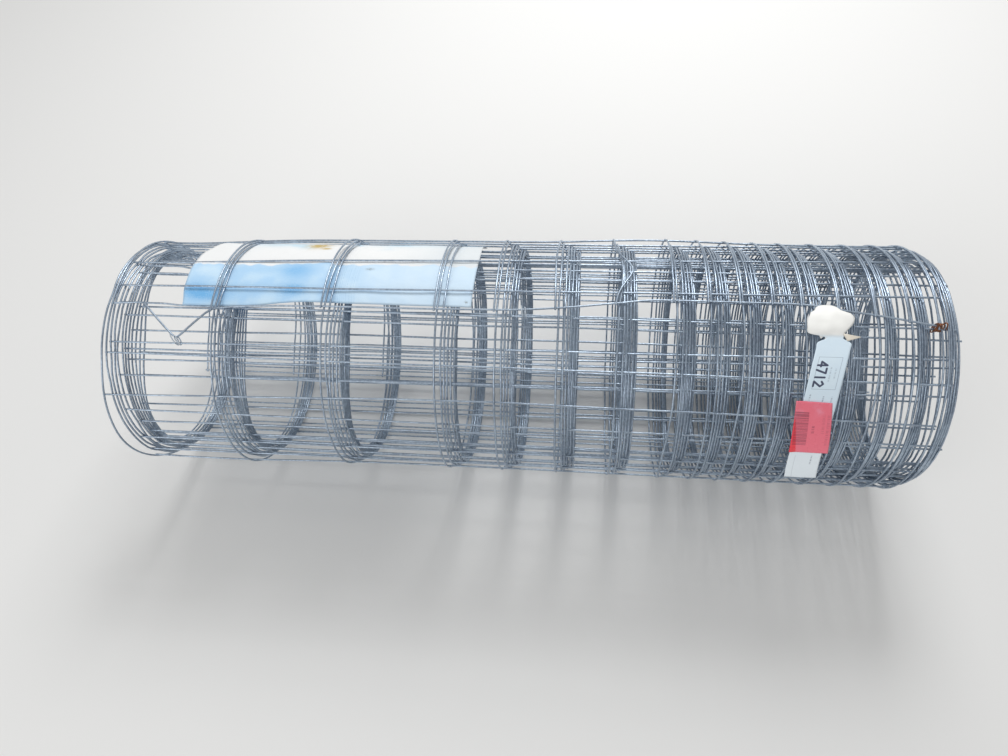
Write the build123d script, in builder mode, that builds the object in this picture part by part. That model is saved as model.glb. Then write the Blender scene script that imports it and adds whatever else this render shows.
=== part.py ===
from build123d import *
from math import cos, degrees, radians, sin
import os

# Roll of galvanized welded wire mesh, lying on its side.
# X runs along the roll, +Z is up, and the floor is at Z = 0.
# Angles go round the roll's axis, from the front (-Y) up to the top (90 degrees) and over to the back.

inch = 25.4

# The mesh: its cells get narrower towards the right edge
big_cell = 4 * inch
big_cell_count = 3
middle_cell = 2 * inch
middle_cell_count = 4
small_cell = 1 * inch
small_cell_count = 8
stay_spacing = 4 * inch
wire_diameter = 1.6
weld_sink = 0.2
stay_overhang = 3.0

# The roll: tight outside and looser inside, its turns slipped sideways to the right
outer_diameter = 225.0
bore_diameter = 100.0
turns = 12
tight_turns = 5
tight_turn_gap = 1.4
side_slip = 16.0
side_slip_turn = 6
inner_slip = 8.0
groove_depth_ratio = 0.8

# The end cross wire, pulled out of line by its ties: places from the left line wire, then from the right
# one, each with its angle
end_stay_left_angle = 79.3
end_stay_left_route = [(36.0, 79.3), (73.0, 62.2), (103.0, 77.3), (165.0, 78.9), (370.0, 78.2)]
end_stay_right_route = [(252.0, 83.6), (124.0, 83.8), (63.0, 80.4)]
end_stay_right_angle = 76.6
knot_lift = 2.2
end_stay_bend = 3.0
end_stay_angle = 83.0

# Two cross wires of the turns below, which the ties catch: angles at their left and right ends
tied_stays = [(59.8, 59.0), (76.0, 74.2)]

# The label under the outer turns
label_left = 66.0
label_length = 268.0
label_width = 125.0
label_low_angle = 81.5
label_thickness = 0.4
label_depth = 6.5
paper_clearance = 0.3
label_margin = 2.0

# The tag that hangs from the end cross wire
tag_from_right = 88.9
tag_width = 25.4
tag_low_angle = -3.0
tag_shoulder_angle = 66.5
tag_neck_width = 10.0
tag_head_low_angle = 70.5
tag_head_width = 31.0
tag_thickness = 0.4
tag_loop_width = 20.0

# The sticker on the tag
sticker_width = 31.0
sticker_length = 48.0
sticker_low_angle = 18.0
sticker_offset = -5.0
sticker_thickness = 0.2
sticker_clearance = 0.1

# The wire ties round the end cross wire; the left one is at its knot
middle_tie_from_left = 380.0
right_tie_from_right = 6.7
tie_wire_diameter = 1.0
tie_clearance = 0.6
tie_sides = 12

# Sizes that follow from the values above
line_wire_gaps = [big_cell] * big_cell_count
line_wire_gaps += [middle_cell] * middle_cell_count
line_wire_gaps += [small_cell] * small_cell_count
line_wire_places = [sum(line_wire_gaps[:i]) for i in range(len(line_wire_gaps) + 1)]
roll_width = line_wire_places[-1]
outer_radius = outer_diameter / 2
bore_radius = bore_diameter / 2
line_wire_radius = outer_radius - wire_diameter / 2
stay_radius = line_wire_radius - wire_diameter + weld_sink
core_radius = stay_radius - wire_diameter / 2 + weld_sink
loose_turns = turns - tight_turns
turn_gap_growth = (core_radius - bore_radius - wire_diameter - turns * tight_turn_gap) * 2
turn_gap_growth /= loose_turns * (loose_turns + 1)
tag_centre = roll_width - tag_from_right
stay_step = degrees(stay_spacing / line_wire_radius)
stays_in_a_turn = int(360 / stay_step) + 1
label_seat_radius = outer_radius - label_depth
label_high_angle = label_low_angle + degrees(label_width / label_seat_radius)
arch_radius = label_seat_radius + label_thickness + 2 * paper_clearance
edge_wire_height = outer_radius - core_radius + weld_sink
left_x = -(roll_width + side_slip) / 2
axis_height = outer_radius
roll_axis = Axis((0, 0, axis_height), (1, 0, 0))
end_across = (0, -sin(radians(end_stay_angle)), -cos(radians(end_stay_angle)))
end_plane = Plane(origin=(left_x, 0, axis_height), x_dir=(1, 0, 0), z_dir=end_across)


def cross_section(place):
    """Plane across the roll, at a distance from the left line wire. An extrusion from it runs to the left."""
    return Plane(origin=(left_x + place, 0, axis_height), x_dir=(0, -1, 0), z_dir=(-1, 0, 0))


def point_on_turn(place, angle, radius):
    across = -radius * cos(radians(angle))
    height = axis_height + radius * sin(radians(angle))
    return Vector(left_x + place, across, height)


def degrees_along(distance, radius):
    return degrees(distance / radius)


def bent_outline(inner_radius, thickness, low_angle, high_angle):
    """Edges of the section of a sheet bent round the roll."""
    sweep_angle = high_angle - low_angle
    with BuildLine() as outline:
        inner = CenterArc((0, 0), inner_radius, low_angle, sweep_angle)
        outer = CenterArc((0, 0), inner_radius + thickness, low_angle, sweep_angle)
        Line(inner @ 0, outer @ 0)
        Line(inner @ 1, outer @ 1)
    return outline.edges()


def between(points, place):
    """Angle at a place on a route of (place, angle) points."""
    for (start, start_angle), (end, end_angle) in zip(points, points[1:]):
        if start <= place <= end:
            return start_angle + (end_angle - start_angle) * (place - start) / (end - start)
    return points[-1][1]


def slip(turn):
    """How far a turn has slipped to the right of the outermost one."""
    if turn <= side_slip_turn:
        return side_slip * turn / side_slip_turn
    inwards = (turn - side_slip_turn) / (turns - side_slip_turn)
    return side_slip - (side_slip - inner_slip) * inwards**2


def turn_radius(turn):
    """Radius of a turn, counted from the outermost one in."""
    loose = max(turn - tight_turns, 0)
    return core_radius - wire_diameter / 2 - turn * tight_turn_gap - turn_gap_growth * loose * (loose + 1) / 2


def turn_ridges(face_place, side):
    """Outline of one end of the roll, going in: a slope over the tight turns, then a crest for each turn."""
    points = [(face_place, core_radius), (face_place, turn_radius(0))]
    points.append((face_place + slip(tight_turns), turn_radius(tight_turns)))
    for turn in range(tight_turns + 1, turns + 1):
        gap = turn_radius(turn - 1) - turn_radius(turn)
        groove = face_place + (slip(turn - 1) + slip(turn)) / 2 - side * groove_depth_ratio * gap
        points.append((groove, turn_radius(turn) + gap / 2))
        points.append((face_place + slip(turn), turn_radius(turn)))
    points.append((face_place + inner_slip, bore_radius))
    return points


# Route of the end cross wire, and the angle of the wire that each tie catches
end_stay_points = [(-stay_overhang, end_stay_left_angle)] + end_stay_left_route
end_stay_points += [(roll_width - place, angle) for place, angle in end_stay_right_route]
end_stay_points += [(roll_width + stay_overhang, end_stay_right_angle)]
knot_place = min(end_stay_left_route, key=lambda point: point[1])[0]
tied_routes = [[(-stay_overhang, left), (roll_width + stay_overhang, right)] for left, right in tied_stays]

tie_places = {
    "tie_left": knot_place,
    "tie_middle": middle_tie_from_left,
    "tie_right": roll_width - right_tie_from_right,
}


def nearest_tied_angle(place):
    end_angle = between(end_stay_points, place)
    return min((between(route, place) for route in tied_routes), key=lambda angle: abs(end_angle - angle))


def tie_loop(place):
    """Middle angle, middle radius and loop radius of the tie at a place."""
    end_angle = between(end_stay_points, place)
    caught_angle = nearest_tied_angle(place)
    lift = knot_lift if abs(place - knot_place) < end_stay_bend else 0
    half_gap = radians(abs(end_angle - caught_angle)) * stay_radius / 2 + lift / 2
    loop_radius = half_gap + wire_diameter / 2 + tie_clearance + tie_wire_diameter
    return (end_angle + caught_angle) / 2, stay_radius + lift / 2, loop_radius


# The turned roll: one solid with its bore, its turns showing on both ends
left_end = turn_ridges(-stay_overhang, -1)
right_end = turn_ridges(roll_width + stay_overhang, 1)

with BuildPart() as mesh_roll:
    with BuildSketch(end_plane):
        with BuildLine():
            Polyline(*left_end, *reversed(right_end), close=True)
        make_face()
    revolve(axis=roll_axis)

    # Recess down to the label, which shows through the open mesh
    with BuildSketch(cross_section(label_left + label_length + label_margin)):
        margin_angle = degrees_along(label_margin, label_seat_radius)
        make_face(bent_outline(label_seat_radius, label_depth, label_low_angle - margin_angle, label_high_angle + margin_angle))
    extrude(amount=label_length + 2 * label_margin, mode=Mode.SUBTRACT)

    # Room under the end cross wire for each tie
    for name, place in tie_places.items():
        middle_angle, middle_radius, loop_radius = tie_loop(place)
        room = loop_radius + tie_clearance
        room_angle = degrees_along(room, stay_radius)
        with BuildSketch(cross_section(place + room / 2)):
            make_face(bent_outline(middle_radius - room, 2 * room, middle_angle - room_angle, middle_angle + room_angle))
        extrude(amount=room, mode=Mode.SUBTRACT)

    # Room under the end cross wire for the tag's loop
    tag_loop_angle = between(end_stay_points, tag_centre)
    tag_inner_radius = outer_radius + paper_clearance
    tag_loop_radius = tag_inner_radius - stay_radius
    loop_room = tag_loop_radius + tag_thickness + paper_clearance
    loop_room_angle = degrees_along(loop_room, stay_radius)
    with BuildSketch(cross_section(tag_centre + tag_loop_width / 2 + paper_clearance)):
        low_angle = tag_loop_angle - loop_room_angle
        make_face(bent_outline(stay_radius - loop_room, 2 * loop_room, low_angle, tag_loop_angle + loop_room_angle))
    extrude(amount=tag_loop_width + 2 * paper_clearance, mode=Mode.SUBTRACT)

    # The two edge line wires, all the way round
    with BuildSketch(end_plane):
        with Locations(*[(place, outer_radius - edge_wire_height / 2) for place in (0, roll_width)]):
            Rectangle(wire_diameter, edge_wire_height)
    revolve(axis=roll_axis)

    # Line wires of the outer turns where they bridge the label
    arch_overlap_angle = 2 * margin_angle
    bridging_places = [place for place in line_wire_places if label_left < place < label_left + label_length]
    for place in bridging_places:
        with BuildSketch(cross_section(place + wire_diameter / 2)):
            arch_low_angle = label_low_angle - arch_overlap_angle
            arch_high_angle = label_high_angle + arch_overlap_angle
            make_face(bent_outline(arch_radius, outer_radius - arch_radius, arch_low_angle, arch_high_angle))
        extrude(amount=wire_diameter)

    # Cross wires of the outermost turn, and the lower ones that the ties catch
    stay_angles = [end_stay_angle + turn * stay_step for turn in range(1, stays_in_a_turn + 1)]
    with BuildSketch(cross_section(roll_width + stay_overhang)):
        for angle in stay_angles:
            with Locations((stay_radius * cos(radians(angle)), stay_radius * sin(radians(angle)))):
                RegularPolygon(wire_diameter / 2, 6, major_radius=False, rotation=angle)
    extrude(amount=roll_width + 2 * stay_overhang)
    for route in tied_routes:
        with BuildLine() as tied_path:
            Polyline(*[point_on_turn(place, angle, stay_radius) for place, angle in route])
        with BuildSketch(Plane(origin=tied_path.line @ 0, z_dir=tied_path.line % 0)):
            RegularPolygon(wire_diameter / 2, 6, major_radius=False)
        sweep(path=tied_path.line)

    # The end cross wire, drawn down to a knot near the left end
    with BuildLine() as end_stay_path:
        FilletPolyline(
            *[
                point_on_turn(place, angle, stay_radius + (knot_lift if place == knot_place else 0))
                for place, angle in end_stay_points
            ],
            radius=end_stay_bend,
        )
    with BuildSketch(Plane(origin=end_stay_path.line @ 0, z_dir=end_stay_path.line % 0)):
        RegularPolygon(wire_diameter / 2, 6, major_radius=False)
    sweep(path=end_stay_path.line)

# The label, bent to the turn that it lies on
with BuildPart() as label_sheet:
    with BuildSketch(cross_section(label_left + label_length)):
        make_face(bent_outline(label_seat_radius + paper_clearance, label_thickness, label_low_angle, label_high_angle))
    extrude(amount=label_length)

# The tag: a strip down the front of the roll, a narrow neck, and a head looped round the end cross wire
with BuildPart() as lot_tag:
    tag_stretches = [
        (tag_width, tag_low_angle, tag_shoulder_angle),
        (tag_neck_width, tag_shoulder_angle, tag_head_low_angle),
        (tag_head_width, tag_head_low_angle, tag_loop_angle),
    ]
    for width, low_angle, high_angle in tag_stretches:
        with BuildSketch(cross_section(tag_centre + width / 2)):
            make_face(bent_outline(tag_inner_radius, tag_thickness, low_angle, high_angle))
        extrude(amount=width)
    with BuildSketch(cross_section(tag_centre + tag_loop_width / 2)):
        loop_centre = (stay_radius * cos(radians(tag_loop_angle)), stay_radius * sin(radians(tag_loop_angle)))
        with Locations(loop_centre):
            Circle(tag_loop_radius + tag_thickness)
            Circle(tag_loop_radius, mode=Mode.SUBTRACT)
    extrude(amount=tag_loop_width)

with BuildPart() as tag_sticker:
    sticker_radius = tag_inner_radius + tag_thickness + sticker_clearance
    sticker_high_angle = sticker_low_angle + degrees_along(sticker_length, sticker_radius)
    with BuildSketch(cross_section(tag_centre + sticker_offset + sticker_width / 2)):
        make_face(bent_outline(sticker_radius, sticker_thickness, sticker_low_angle, sticker_high_angle))
    extrude(amount=sticker_width)


def wire_tie(place):
    """A loop of wire, with few sides, round the end cross wire and the one that it is tied to."""
    middle_angle, middle_radius, loop_radius = tie_loop(place)
    centre = point_on_turn(place + tie_wire_diameter / 2, middle_angle, middle_radius)
    with BuildPart() as tie:
        with BuildSketch(Plane(origin=centre, x_dir=(0, -1, 0), z_dir=(-1, 0, 0))):
            RegularPolygon(loop_radius, tie_sides)
            RegularPolygon(loop_radius - tie_wire_diameter, tie_sides, mode=Mode.SUBTRACT)
        extrude(amount=tie_wire_diameter)
    return tie.part


os.makedirs("parts", exist_ok=True)

mesh_roll.part.label = "mesh_roll"
label_sheet.part.label = "label_sheet"
lot_tag.part.label = "lot_tag"
tag_sticker.part.label = "tag_sticker"
export_step(mesh_roll.part, "parts/mesh_roll.step")
export_step(label_sheet.part, "parts/label_sheet.step")
export_step(lot_tag.part, "parts/lot_tag.step")
export_step(tag_sticker.part, "parts/tag_sticker.step")

for name, place in tie_places.items():
    tie = wire_tie(place)
    tie.label = name
    export_step(tie, f"parts/{name}.step")
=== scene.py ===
import math

import bpy
from mathutils import Matrix, Vector, noise


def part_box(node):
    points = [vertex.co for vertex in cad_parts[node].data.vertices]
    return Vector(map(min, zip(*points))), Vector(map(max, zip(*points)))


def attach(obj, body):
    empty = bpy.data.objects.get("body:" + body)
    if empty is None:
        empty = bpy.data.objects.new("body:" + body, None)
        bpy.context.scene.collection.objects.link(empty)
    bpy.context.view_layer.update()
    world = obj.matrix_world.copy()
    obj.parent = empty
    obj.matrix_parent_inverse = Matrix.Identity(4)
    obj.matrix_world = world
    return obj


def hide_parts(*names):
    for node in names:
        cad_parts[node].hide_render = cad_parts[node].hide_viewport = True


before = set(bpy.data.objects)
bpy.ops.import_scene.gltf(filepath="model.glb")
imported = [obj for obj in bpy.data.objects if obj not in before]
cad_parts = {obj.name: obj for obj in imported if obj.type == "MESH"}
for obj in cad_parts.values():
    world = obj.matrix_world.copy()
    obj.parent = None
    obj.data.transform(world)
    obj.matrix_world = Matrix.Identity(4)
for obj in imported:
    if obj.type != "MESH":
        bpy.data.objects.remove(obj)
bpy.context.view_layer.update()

print("frame loaded:", sorted(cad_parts))

mm = 0.001
inch = 25.4 * mm
rollLow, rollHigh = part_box("mesh_roll")


# Node trees written as sums

class Field:  # one socket of a tree that takes part in sums
    def __init__(self, tree, socket):
        self.tree = tree
        self.socket = socket

    def calc(self, operation, *others):
        values = dict(enumerate((self, *others)))
        return addNode(self.tree, "ShaderNodeMath", values, operation=operation)

    def __add__(self, other):
        return self.calc("ADD", other)

    def __sub__(self, other):
        return self.calc("SUBTRACT", other)

    def __mul__(self, other):
        return self.calc("MULTIPLY", other)

    def __truediv__(self, other):
        return self.calc("DIVIDE", other)

    def also(self, output):  # another output of the same node
        return Field(self.tree, self.socket.node.outputs[output])


def addNode(tree, kind, inputs=None, output=0, **settings):
    node = tree.nodes.new(kind)
    for title, value in settings.items():
        setattr(node, title, value)
    for slot, value in (inputs or {}).items():
        for item in value if isinstance(value, list) else [value]:
            if isinstance(item, Field):
                tree.links.new(item.socket, node.inputs[slot])
            else:
                node.inputs[slot].default_value = item
    return Field(tree, node.outputs[output])


def progress(value, start, end):  # 0 before start, 1 after end, straight between, for plain numbers
    return min(max((value - start) / (end - start), 0), 1)


def smooth(share):  # eases a straight change from 0 to 1 at both ends
    return share * share * (3 - 2 * share)


def hill(distance, width):  # 1 in the middle, falling away to each side
    return ((distance / width).calc("POWER", 2) * -1).calc("EXPONENT")


def ramp(value, start, end):  # 0 before start, 1 after end, smooth between
    values = {"Value": value, "From Min": start, "From Max": end}
    return addNode(value.tree, "ShaderNodeMapRange", values, interpolation_type="SMOOTHSTEP")


def startTree(name, sizes, result="NodeSocketGeometry"):
    tree = bpy.data.node_groups.new(name, "GeometryNodeTree")
    tree.interface.new_socket("Result", in_out="OUTPUT", socket_type=result)
    for title, value in sizes.items():
        socket = tree.interface.new_socket(title, in_out="INPUT", socket_type="NodeSocketFloat")
        socket.default_value = value
    inputs = tree.nodes.new("NodeGroupInput")
    return tree, {title: Field(tree, inputs.outputs[title]) for title in sizes}


def endTree(tree, result):
    outputs = tree.nodes.new("NodeGroupOutput")
    tree.links.new(result.socket, outputs.inputs["Result"])
    return tree


def growPiece(name, tree, sizes):  # runs a tree and keeps its result as a plain mesh
    piece = bpy.data.objects.new(name, bpy.data.meshes.new(name))
    bpy.context.scene.collection.objects.link(piece)
    modifier = piece.modifiers.new(tree.name, "NODES")
    modifier.node_group = tree
    for item in tree.interface.items_tree:
        if item.in_out == "INPUT":
            modifier[item.identifier] = float(sizes[item.name])
    grown = piece.evaluated_get(bpy.context.evaluated_depsgraph_get())
    mesh = bpy.data.meshes.new_from_object(grown)
    piece.modifiers.remove(modifier)
    piece.data = mesh
    print(f"{name}: {len(mesh.vertices)} points, {len(mesh.polygons)} faces")
    return piece


# Materials

def newMaterial(name):
    material = bpy.data.materials.new(name)
    material.use_nodes = True
    tree = material.node_tree
    tree.nodes.clear()
    shader = tree.nodes.new("ShaderNodeBsdfPrincipled")
    output = tree.nodes.new("ShaderNodeOutputMaterial")
    tree.links.new(shader.outputs[0], output.inputs["Surface"])
    return material, tree, shader


def speckle(tree, scale, detail=3.0, coordinates=None):
    where = coordinates or addNode(tree, "ShaderNodeTexCoord").also("Object")
    return addNode(tree, "ShaderNodeTexNoise", {"Vector": where, "Scale": scale, "Detail": detail})


def blendColours(tree, factor, first, second):
    inputs = {"Factor": factor, 6: first, 7: second}  # 6 and 7 are the node's two colour sockets
    return addNode(tree, "ShaderNodeMix", inputs, output=2, data_type="RGBA", clamp_factor=True)


def setShader(tree, shader, **values):
    for title, value in values.items():
        slot = shader.inputs[title.replace("_", " ")]
        if isinstance(value, Field):
            tree.links.new(value.socket, slot)
        else:
            slot.default_value = value


def addBump(tree, shader, height, distance, strength=1.0):
    bump = addNode(tree, "ShaderNodeBump", {"Height": height, "Distance": distance, "Strength": strength})
    tree.links.new(bump.socket, shader.inputs["Normal"])


zinc = {
    "cloud": 30,  # noise scales, where a larger number makes finer patches
    "spangle": 420,
    "grain": 1500,
    "grainDepth": 0.05 * mm,
    "metallic": 0.82,
    # dullWire: its blue tint is partly zinc's own colour and partly a painted sky reflection
    "dullWire": ((0.48, 0.57, 0.67, 1), (0.27, 0.33, 0.41, 1), 0.37),  # pale, dark and roughness
    "brightWire": ((0.80, 0.86, 0.92, 1), (0.58, 0.64, 0.70, 1), 0.36),
}


def zincMaterial(name, pale, dark, roughness):
    material, tree, shader = newMaterial(name)
    cloud = ramp(speckle(tree, zinc["cloud"]), 0.35, 0.65)
    spangle = ramp(speckle(tree, zinc["spangle"]), 0.42, 0.60)
    colour = blendColours(tree, cloud * 0.55 + spangle * 0.45, dark, pale)
    rough = spangle * -0.08 + (roughness + 0.04)
    setShader(tree, shader, Base_Color=colour, Metallic=zinc["metallic"], Roughness=rough)
    addBump(tree, shader, speckle(tree, zinc["grain"], 2), zinc["grainDepth"], 0.3)
    return material


galvanizedWire = zincMaterial("galvanizedWire", *zinc["dullWire"])
brightTieWire = zincMaterial("brightTieWire", *zinc["brightWire"])


# The roll of mesh: a spiral of line wires, with cross wires welded to their inner side

roll = {
    "cells": [(4 * inch, 3), (2 * inch, 4), (1 * inch, 8)],  # cell widths from the left end, and how many
    "seed": 3.0,
    "wireSides": 6,
    "lineWireSteps": 870,
    "outerSteps": 0.45,  # how much closer those steps lie in the outer turns
    "crossWireSteps": 154,  # one of the steps falls on the knot
    "spiralSteps": 3000,  # of the line along which the cross wires are spaced
    "weld": 1.15 * mm,  # radius of the lump of zinc at a weld
    "swell": 0.5 * mm,  # how far the outermost line wires' centres lie outside the turned solid
    "edge": 3 * mm,  # how far the turned solid's end lies outside the edge line wire
    "overhang": 1.6 * mm,  # cross wire past the edge line wires
    "looseEnd": 1.4 * mm,  # line wire past the last cross wire
    "innerRadius": 70 * mm,  # of the turn that ends inside
    "skew": 2.7 * mm,  # how far the outermost turn lies to the left, except near its left end
    "skewTurns": (1.4, 1.1),
    "skewPlaces": (90 * mm, 260 * mm),
    "offPlace": {  # line wires off their places
        3: -0.8 * mm, 5: 1.4 * mm, 7: -2.5 * mm, 11: -2.5 * mm,
        13: 2.5 * mm, 14: 2.5 * mm, 15: -1.2 * mm,
    },
    "pulledIn": 8 * mm,  # left end of the end cross wire, drawn in by the knot
    "pulledTurns": 0.12,
    "pulledPlaces": 80 * mm,
    "flare": 10 * mm,  # how far the left edge stands out low on the front
    "flareMiddle": 0.76,
    "flareTurns": 0.11,
    "flarePlaces": 110 * mm,
    "dipStarts": (0.94, 0.96),  # turns
    "dipEnds": (6.5, 5.0),
    "bulges": [(0.15, 490, 0.10, 75, 3.2), (0.70, 60, 0.12, 110, 3.2)],  # turn, place, half sizes, height
    "dents": [(138, 25, 36, 85, 5.0)],  # in every turn: angle, place, half sizes and depth
}
waves = {  # noise that shifts all wires, as shares of the waviness
    "scale": 14.0,
    "alongRoll": 0.35,
    "fromTurnToTurn": 0.6,
    "seedStep": 10,
    "inward": 0.7,
    "round": 1.5,
}
wireRadius = 0.9 * mm
rollSizes = {
    "Wire radius": wireRadius,
    "Outer radius": rollHigh.z / 2 + roll["swell"],
    "Left": rollLow.x + roll["edge"],
    "Axis height": rollHigh.z / 2 + roll["swell"] + wireRadius,
    "Turns": 12.5,
    "Tight turns": 5.0,
    "Turn gap": 1.4 * mm,
    "Gap growth": 1.27 * mm,
    "Flat angle": math.radians(58),  # the loose inner turns are flattened across this direction
    "Side slip": 16 * mm,
    "Slip turn": 6.0,
    "Inner slip": 8 * mm,
    "End angle": math.radians(83),
    "Cross spacing": 4 * inch,
    "Sink": 1.1 * mm,  # cross wire's centre below the line wire's
    "Dip": 1.6 * mm,  # how far a turn dips where a cross wire of the turn outside it lies
    "Dip width": 12 * mm,
    "Waviness": 2.4 * mm,
    "Seed": roll["seed"],
}
rollWidth = sum(width * count for width, count in roll["cells"])
lineWireCount = 1 + sum(count for width, count in roll["cells"])

lineWireSizes = {"Line wires": float(lineWireCount), **rollSizes}
crossWireSizes = {"Line wires": float(lineWireCount), "Weld radius": roll["weld"], **rollSizes}

endRoute = {
    "points": [  # place and angle of the outermost cross wire along the roll, in mm and degrees
        (0, 77.3), (31, 78.0), (73.1, 61.2), (98, 73.9), (108, 76.0), (165, 77.9), (365, 78.2),
        (409, 79.7), (459, 82.6), (500, 84.4), (587, 84.4), (649, 80.8), (711.2, 75.2),
    ],
    "spare": 2,  # degrees that the curve's range has to each side
    "knot": 73.1 * mm,
    "bends": [31, 73.1, 98],  # its sharp bends, the second one at the knot
    "knotLift": 2.2 * mm,
    "knotWidth": 18 * mm,
    "fade": 0.10,  # turns over which the wires behind it come back to their own angle
}
# cross wires off their even places, by number from the outer end, which is 0: degrees, and lean and bend in
# degrees over 100 mm
outOfStep = {
    1: (9.4, 0, 0), 5: (-1.4, 0.5, 0), 6: (6.5, 0, -1.0), 7: (5.4, 0.3, 0), 13: (11.4, -0.4, 0),
    14: (14.8, 1.2, 0), 20: (3.8, 0.3, 0), 21: (-6.7, 0, 0), 26: (0, -0.4, 0), 27: (-0.4, -0.6, 0),
    33: (-3.4, 0.4, 0), 34: (-4.3, 0, 0), 39: (-6.7, 0.5, 0), 40: (-7.1, -0.4, 0), 46: (-6.3, 0.4, 0.3),
    47: (-5.8, 0, 0), 52: (-5.3, 0, 0), 58: (6.3, -0.3, -0.3), 63: (6.0, 0.5, 0), 74: (-3.0, 0, 0),
}
stepReach = 0.07  # turns over which each of these fades
evenSteps = 12500  # of the line that gives the even places
labelSeat = {  # the room that the inner turns leave for the label
    "left": 58 * mm,
    "right": 338 * mm,
    "low": 78,
    "high": 152,
    "softPlace": 18 * mm,
    "softAngle": 8,
    "turn": 2.6,
    "lastTurn": 8.5,
    "push": 3.2 * mm,
}


def placeOfWire(number):
    place = number * 0
    first = 0
    for width, count in roll["cells"]:
        place = place + (number - first).calc("MAXIMUM", 0).calc("MINIMUM", count) * width
        first += count
    for wire, shift in roll["offPlace"].items():
        place = place + number.calc("COMPARE", wire, 0.5) * shift
    return place


def arcLength(size, turn):  # along the spiral from its outer end
    loose = (turn - size["Tight turns"]).calc("MAXIMUM", 0)
    shrink = size["Turn gap"] * turn * turn / 2
    growth = (loose.calc("POWER", 3) / 6 + loose * loose / 4) * size["Gap growth"] / 2
    return (size["Outer radius"] * turn - shrink - growth) * math.tau


def findEvenTurns():  # the turn on which each cross wire lies, if all are evenly spaced
    size = rollSizes
    startAngle = math.radians(endRoute["points"][0][1])
    before = Vector((math.cos(startAngle), math.sin(startAngle))) * size["Outer radius"]
    route, length = [], 0.0
    for step in range(evenSteps + 1):
        turn = size["Turns"] * step / evenSteps
        away = smooth(progress(turn, 0, endRoute["fade"]))
        angle = startAngle * (1 - away) + size["End angle"] * away + turn * math.tau
        loose = max(turn - size["Tight turns"], 0)
        flattened = math.cos(angle - size["Flat angle"]) ** 2
        radius = size["Outer radius"] - size["Turn gap"] * turn
        radius -= size["Gap growth"] * loose * (loose + 1) / 2 * flattened
        point = Vector((math.cos(angle), math.sin(angle))) * radius
        length += (point - before).length
        before = point
        route.append((turn, length))
    spacing = length / int(length / size["Cross spacing"])
    turns = []
    for turn, length in route:
        if length >= spacing * len(turns):
            turns.append(turn)
    return turns


evenTurns = findEvenTurns()


def stepError(turn, part=0):  # in turns, or with part 1 or 2 in turns over a metre
    scale = 10 / 360 if part else 1 / 360
    error = turn * 0
    for number, shares in outOfStep.items():
        error = error + hill(turn - evenTurns[number], stepReach) * (shares[part] * scale)
    return error


def endWireBend(size, place):  # how far the outermost cross wire lies from its straight line
    low = min(angle for where, angle in endRoute["points"]) - endRoute["spare"]
    span = max(angle for where, angle in endRoute["points"]) + endRoute["spare"] - low
    node = place.tree.nodes.new("ShaderNodeFloatCurve")
    curve = node.mapping.curves[0]
    node.mapping.extend = "HORIZONTAL"
    while len(curve.points) < len(endRoute["points"]):
        curve.points.new(0.5, 0.5)
    for point, (where, angle) in zip(curve.points, endRoute["points"]):
        point.location = (where * mm / rollWidth, (angle - low) / span)
        point.handle_type = "VECTOR" if where in endRoute["bends"] else "AUTO_CLAMPED"
    node.mapping.update()
    place.tree.links.new((place / rollWidth).socket, node.inputs["Value"])
    angle = Field(place.tree, node.outputs[0]) * math.radians(span) + math.radians(low)
    return angle - size["End angle"]


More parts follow.
